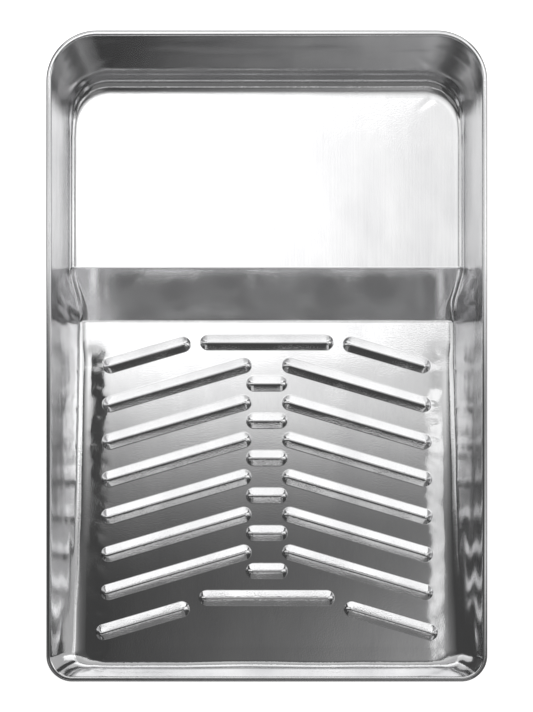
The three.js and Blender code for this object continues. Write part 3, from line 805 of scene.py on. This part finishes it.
class Look:
    """A metal material built from nodes, in object coordinates."""

    def __init__(self, name):
        self.material = bpy.data.materials.new(name)
        self.material.use_nodes = True
        self.nodes, self.links = self.material.node_tree.nodes, self.material.node_tree.links
        self.shader = self.nodes["Principled BSDF"]
        self.shader.inputs["Metallic"].default_value = 1
        coordinates = self.nodes.new("ShaderNodeTexCoord")
        self.place, self.facing = coordinates.outputs["Object"], coordinates.outputs["Normal"]
        self.height = None

    def noise(self, size, detail=2.0, turn=0.0):
        """Noise from 0 to 1 whose grains measure about size, a length along each axis."""
        mapping = self.nodes.new("ShaderNodeMapping")
        mapping.vector_type = "TEXTURE"
        mapping.inputs["Rotation"].default_value = (0, 0, turn)
        mapping.inputs["Scale"].default_value = size
        texture = self.nodes.new("ShaderNodeTexNoise")
        texture.inputs["Scale"].default_value = 1
        texture.inputs["Detail"].default_value = detail
        self.links.new(self.place, mapping.inputs["Vector"])
        self.links.new(mapping.outputs[0], texture.inputs["Vector"])
        return texture.outputs["Fac"]

    def sideways(self):
        """0 on a face that looks up or along Y, 1 on one that looks left or right."""
        parts = self.nodes.new("ShaderNodeSeparateXYZ")
        self.links.new(self.facing, parts.inputs[0])
        return self.calc("ABSOLUTE", parts.outputs["X"])

    def spread(self, value, span=(0, 1), new_span=(0, 1)):
        """Maps a value from one span to another, staying inside it."""
        node = self.nodes.new("ShaderNodeMapRange")
        for name, number in zip(("From Min", "From Max", "To Min", "To Max"), (*span, *new_span)):
            node.inputs[name].default_value = number
        self.links.new(value, node.inputs["Value"])
        return node.outputs["Result"]

    def calc(self, operation, *values):
        node = self.nodes.new("ShaderNodeMath")
        node.operation = operation
        for value, socket in zip(values, node.inputs):
            self.links.new(value, socket)
        return node.outputs[0]

    def relief(self, value, depth):
        """Adds relief of the given depth where the value runs from 0 to 1."""
        scaled = self.spread(value, new_span=(0, depth))
        self.height = scaled if self.height is None else self.calc("ADD", self.height, scaled)

    def roughness(self, value):
        self.links.new(value, self.shader.inputs["Roughness"])

    def tint(self, value, clean, stained):
        """Colours the metal from clean, where the value is 0, to stained."""
        mix = self.nodes.new("ShaderNodeMix")
        mix.data_type = "RGBA"
        mix.inputs["A"].default_value = (*clean, 1)
        mix.inputs["B"].default_value = (*stained, 1)
        self.links.new(value, mix.inputs["Factor"])
        self.links.new(mix.outputs["Result"], self.shader.inputs["Base Color"])

    def finish(self):
        """Joins the relief to the shader, and gives the material."""
        bump = self.nodes.new("ShaderNodeBump")
        bump.inputs["Distance"].default_value = 1
        self.links.new(self.height, bump.inputs["Height"])
        self.links.new(bump.outputs[0], self.shader.inputs["Normal"])
        return self.material


def plated_sheet():
    """Bright plating over rolled steel: grain along Y, patches of fine mottle, faint rub marks and stains.

    The side walls, which the press stretched most, are duller.
    """
    look = Look("plated_sheet")
    mottle = look.noise(SHEET_MOTTLE_SIZE, 2)
    grain = look.noise(SHEET_GRAIN_SIZE, 4)
    swell = look.noise(SHEET_SWELL_SIZE, 1)
    rubs = look.noise(SHEET_RUB_SIZE, 2, SHEET_RUB_TURN)
    stain = look.noise(SHEET_STAIN_SIZE, 5)
    patches = look.spread(look.noise(SHEET_PATCH_SIZE, 2), SHEET_PATCH_WINDOW, SHEET_PATCH_SHARES)
    look.relief(look.calc("MULTIPLY", mottle, patches), SHEET_MOTTLE_DEPTH)
    look.relief(grain, SHEET_GRAIN_DEPTH)
    look.relief(swell, SHEET_SWELL_DEPTH)
    look.relief(look.spread(rubs, SHEET_RUB_WINDOW), SHEET_RUB_DEPTH)
    worn = look.spread(stain, STAIN_WINDOW)
    streaks = look.spread(grain, STREAK_WINDOW)
    drawn = look.spread(look.sideways(), DRAWN_WALL_WINDOW, (0, DRAWN_WALL_ROUGHNESS))
    stain_roughness = look.spread(worn, new_span=SHEET_ROUGHNESS)
    streak_roughness = look.spread(streaks, new_span=(0, SHEET_STREAK_ROUGHNESS))
    look.roughness(look.calc("ADD", look.calc("ADD", stain_roughness, streak_roughness), drawn))
    stained = look.spread(worn, new_span=(0, SHEET_STAIN_SHARE))
    streaked = look.spread(streaks, new_span=(0, SHEET_STREAK_SHARE))
    look.tint(look.calc("ADD", stained, streaked), SHEET_CLEAN, SHEET_STAINED)
    return look.finish()


def leg_strip():
    """Duller plated strip: grain along its length, mottle, scuffs and stains."""
    look = Look("leg_strip")
    grain = look.noise(STRIP_GRAIN_SIZE, 3)
    mottle = look.noise(STRIP_MOTTLE_SIZE, 4)
    stain = look.noise(STRIP_STAIN_SIZE, 5)
    scuffs = look.noise(STRIP_SCUFF_SIZE, 2, STRIP_SCUFF_TURN)
    look.relief(grain, STRIP_GRAIN_DEPTH)
    look.relief(mottle, STRIP_MOTTLE_DEPTH)
    look.relief(look.spread(scuffs, STRIP_SCUFF_WINDOW), STRIP_SCUFF_DEPTH)
    worn = look.spread(stain, STAIN_WINDOW)
    stain_roughness = look.spread(worn, new_span=STRIP_ROUGHNESS)
    mottle_roughness = look.spread(mottle, MOTTLE_WINDOW, (0, STRIP_MOTTLE_ROUGHNESS))
    look.roughness(look.calc("ADD", stain_roughness, mottle_roughness))
    look.tint(worn, STRIP_CLEAN, STRIP_STAINED)
    return look.finish()


# ---------------------------------------------------------------- assembly
def placed(name, data):
    """A new object for the data, in the scene."""
    obj = bpy.data.objects.new(name, data)
    bpy.context.collection.objects.link(obj)
    return obj


def build_pan():
    surface, edge = upper_face()
    mesh = thickened("pan", surface, edge, SHEET)
    mesh.materials.append(plated_sheet())
    pan = placed("pan", mesh)
    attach(pan, "root")
    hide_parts("tray_pan")


def build_legs():
    material = leg_strip()
    for side, name in ((-1, "left_leg"), (1, "right_leg")):
        mesh = leg_mesh(name + "_strip", side * LEG_X)
        mesh.materials.append(material)
        strip = placed(name + "_strip", mesh)
        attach(strip, "root")
        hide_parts(name)


# ---------------------------------------------------------------- stage and camera
FLOOR_REACH = 8.0
FLOOR_COLOUR, FLOOR_ROUGHNESS, FLOOR_GLOW = (0.93, 0.93, 0.93), 0.7, 0.9

CAMERA_DISTANCE = 1.4
CAMERA_X = -0.2 * MM
CAMERA_FILM = 36  # in mm, as the lens
CAMERA_CLIP_END = 20
PICTURE_PROPORTION = 712 / 533
TRAY_SHARE = 0.8289


def build_stage():
    """A pale floor that glows a little, so that it comes out white; the metal doesn't mirror it."""
    mesh = bpy.data.meshes.new("studio_floor")
    reach = FLOOR_REACH
    corners = [(-reach, -reach, 0), (reach, -reach, 0), (reach, reach, 0), (-reach, reach, 0)]
    mesh.from_pydata(corners, [], [(0, 1, 2, 3)])
    material = bpy.data.materials.new("pale_floor")
    material.use_nodes = True
    shader = material.node_tree.nodes["Principled BSDF"]
    shader.inputs["Base Color"].default_value = (*FLOOR_COLOUR, 1)
    shader.inputs["Roughness"].default_value = FLOOR_ROUGHNESS
    shader.inputs["Emission Color"].default_value = (1, 1, 1, 1)
    shader.inputs["Emission Strength"].default_value = FLOOR_GLOW
    mesh.materials.append(material)
    floor = placed("studio_floor", mesh)
    floor.visible_glossy = False


def build_camera():
    """Straight above the tray, whose width is TRAY_SHARE of the picture's."""
    camera = bpy.data.cameras.new("camera")
    picture_height = PICTURE_PROPORTION * 2 * HALF_WIDTH / TRAY_SHARE
    camera.sensor_fit = "VERTICAL"
    camera.sensor_height = CAMERA_FILM
    camera.lens = CAMERA_FILM * CAMERA_DISTANCE / picture_height
    camera.clip_end = CAMERA_CLIP_END
    obj = placed("camera", camera)
    obj.location = (CAMERA_X, 0, HEIGHT + CAMERA_DISTANCE)
    bpy.context.scene.camera = obj


# ---------------------------------------------------------------- light
# A softbox is brighter in some places than in others. Each curve gives places from 0 to 1 and the brightness
# there: ACROSS from the softbox's -X side, ALONG from its -Y side, or from its foot if it stands upright.
WORLD_GREY = 0.055
KEY_ACROSS = ((0, 1), (0.1, 1), (0.21, 0.85), (0.3, 0.75), (0.39, 0.63), (0.48, 0.58), (1, 0.55))
KEY_ALONG = (
    (0, 0), (0.09, 0), (0.17, 0.07), (0.23, 0.22), (0.27, 0.36), (0.31, 0.6), (0.36, 0.95), (0.5, 1)
)
KEY_SPREAD = math.radians(82)
KEY_TURN = math.radians(-7)
CEILING_ALONG = ((0, 1), (0.4, 0.7), (1, 0.7))
BACK_PANEL_ALONG = ((0, 0.4), (0.34, 0.5), (0.43, 1), (1, 1))
FRONT_FILL_ALONG = (
    (0, 0), (0.1, 0.3), (0.25, 1), (0.5, 0.85), (0.66, 0.6), (0.8, 0.15), (0.9, 0.03), (1, 0)
)
FRONT_GLOW_ACROSS = ((0, 0.2), (0.15, 0.6), (0.8, 1), (1, 1))
FRONT_GLOW_ALONG = ((0, 0.2), (0.25, 0.35), (0.42, 1), (0.62, 1), (0.8, 0.35), (1, 0.2))
RIGHT_EDGE_ACROSS = ((0, 0.35), (0.2, 0.9), (0.35, 1), (1, 1))
RIGHT_EDGE_ALONG = ((0, 0.9), (0.3, 1), (1, 1))
LOW_GLOW_ACROSS = ((0, 0), (0.25, 0.18), (0.45, 0.45), (0.65, 1), (1, 1))
LOW_GLOW_ALONG = ((0, 0), (0.2, 0.9), (0.45, 1), (0.7, 0.6), (1, 0))
WING_ALONG = ((0, 0), (0.08, 0.15), (0.12, 0.35), (0.17, 0.9), (0.25, 1), (0.4, 0.65), (1, 0.6))
EVEN = ((0, 1), (1, 1))


def curve_node(nodes, curve):
    """A colour ramp used as a plain curve."""
    ramp = nodes.new("ShaderNodeValToRGB")
    ramp.color_ramp.interpolation = "B_SPLINE"
    while len(ramp.color_ramp.elements) < len(curve):
        ramp.color_ramp.elements.new(1)
    for element, (place, value) in zip(ramp.color_ramp.elements, curve):
        element.position = place
        element.color = (value, value, value, 1)
    return ramp


def grade(light, across, along):
    """Multiplies a softbox's brightness by one curve across it and one along it."""
    light.use_nodes = True
    nodes, links = light.node_tree.nodes, light.node_tree.links
    place = nodes.new("ShaderNodeNewGeometry")
    split = nodes.new("ShaderNodeSeparateXYZ")
    links.new(place.outputs["Parametric"], split.inputs[0])
    product = nodes.new("ShaderNodeMath")
    product.operation = "MULTIPLY"
    for k, curve in enumerate((across, along)):
        ramp = curve_node(nodes, curve)
        links.new(split.outputs[k], ramp.inputs[0])
        links.new(ramp.outputs[0], product.inputs[k])
    links.new(product.outputs[0], nodes["Emission"].inputs["Strength"])


def softbox(name, middle, aim, size, radiance, across=EVEN, along=EVEN):
    """A rectangular light that lights and is mirrored, but isn't itself in the picture."""
    light = bpy.data.lights.new(name, "AREA")
    light.shape = "RECTANGLE"
    light.size, light.size_y = size
    light.energy = radiance * light.size * light.size_y * math.pi
    if across != EVEN or along != EVEN:
        grade(light, across, along)
    obj = placed(name, light)
    obj.location = middle
    obj.rotation_euler = (Vector(aim) - Vector(middle)).to_track_quat("-Z", "Y").to_euler()
    obj.visible_camera = False
    return obj


def overhead(name, x_span, y_span, height, radiance, across=EVEN, along=EVEN):
    """A level softbox that shines down, over a span of X and of Y."""
    x, y = sum(x_span) / 2, sum(y_span) / 2
    size = x_span[1] - x_span[0], y_span[1] - y_span[0]
    return softbox(name, (x, y, height), (x, y, 0), size, radiance, across, along)


def build_world():
    """Dark grey all round, for where the metal mirrors no softbox."""
    world = bpy.data.worlds.new("studio")
    world.use_nodes = True
    world.node_tree.nodes["Background"].inputs["Color"].default_value = (*[WORLD_GREY] * 3, 1)
    bpy.context.scene.world = world


def build_main_lights():
    """Mostly for the well's floor, the ramp, the ridges and the back wall."""
    # Floor and ramp, and by way of the floor the back wall.
    key = overhead("key", (-0.172, 0.5), (-0.18, 0.45), 0.35, 0.32, KEY_ACROSS, KEY_ALONG)
    key.data.spread = KEY_SPREAD
    key.rotation_euler.rotate_axis("Z", KEY_TURN)
    # Crests of the ridges, and the foot of the front wall.
    overhead("ceiling", (-0.8, 0.8), (0.3, 1.3), 1.0, 0.6, along=CEILING_ALONG)
    # Upper flanks of the ridges, and the front wall.
    softbox("back_panel", (0, 1.1, 0.45), (0, 0, 0.45), (1.8, 0.7), 1.15, along=BACK_PANEL_ALONG)
    # Lower flanks of the ridges nearest the step.
    overhead("front_fill", (-1.5, 1.5), (-2.55, -1.95), 2.0, 0.58, along=FRONT_FILL_ALONG)
    # Thin lines along the ridges.
    overhead("front_glow", (-0.13, 0.27), (-0.76, -0.3), 1.0, 0.18, FRONT_GLOW_ACROSS, FRONT_GLOW_ALONG)
    # Light strip where the ramp's right edge turns down.
    overhead(
        "right_edge_glow", (0.17, 0.26), (-0.18, 0.045), 0.34, 0.55, RIGHT_EDGE_ACROSS, RIGHT_EDGE_ALONG
    )
    # Patches high in the back wall and beside the step. At the key's own height the key would hide it.
    overhead("low_glow", (-0.12, 0.44), (-0.25, -0.05), 0.37, 0.6, LOW_GLOW_ACROSS, LOW_GLOW_ALONG)


def build_side_lights():
    """Mostly for the step, the corners, the side walls and the outside."""
    # Ends of the step, and the rear corners, each on the far side.
    overhead("left_corner_glow", (-1.9, -0.5), (-1.1, -0.4), 1.0, 0.17)
    overhead("right_corner_glow", (0.5, 1.9), (-1.1, -0.4), 1.0, 0.05)
    # Side walls, each on the far side.
    for x_span in ((-1.51, -0.31), (0.31, 1.51)):
        overhead("wing", x_span, (-0.02, 0.58), 0.5, 1.0, along=WING_ALONG)
    # The grey step, lower flanks of the ridges, and the outside of the front wall.
    softbox("front_panel", (0, -1.6, 0.9), (0, 0, 0.1), (1.6, 1.0), 0.12)
    # Front part of the left wall, and the outside of the right wall.
    softbox("right_fill", (1.3, 0.3, 0.5), (0, 0, 0.1), (1.2, 0.9), 0.4)
    # The outside and the underside mirror this panel in place of the pale floor.
    softbox("floor_bounce", (0, 0, -0.01), (0, 0, 1), (2.2, 2.4), 0.3)


build_camera()
build_stage()
build_pan()
build_legs()
build_world()
build_main_lights()
build_side_lights()
bpy.context.scene.view_settings.view_transform = "Standard"
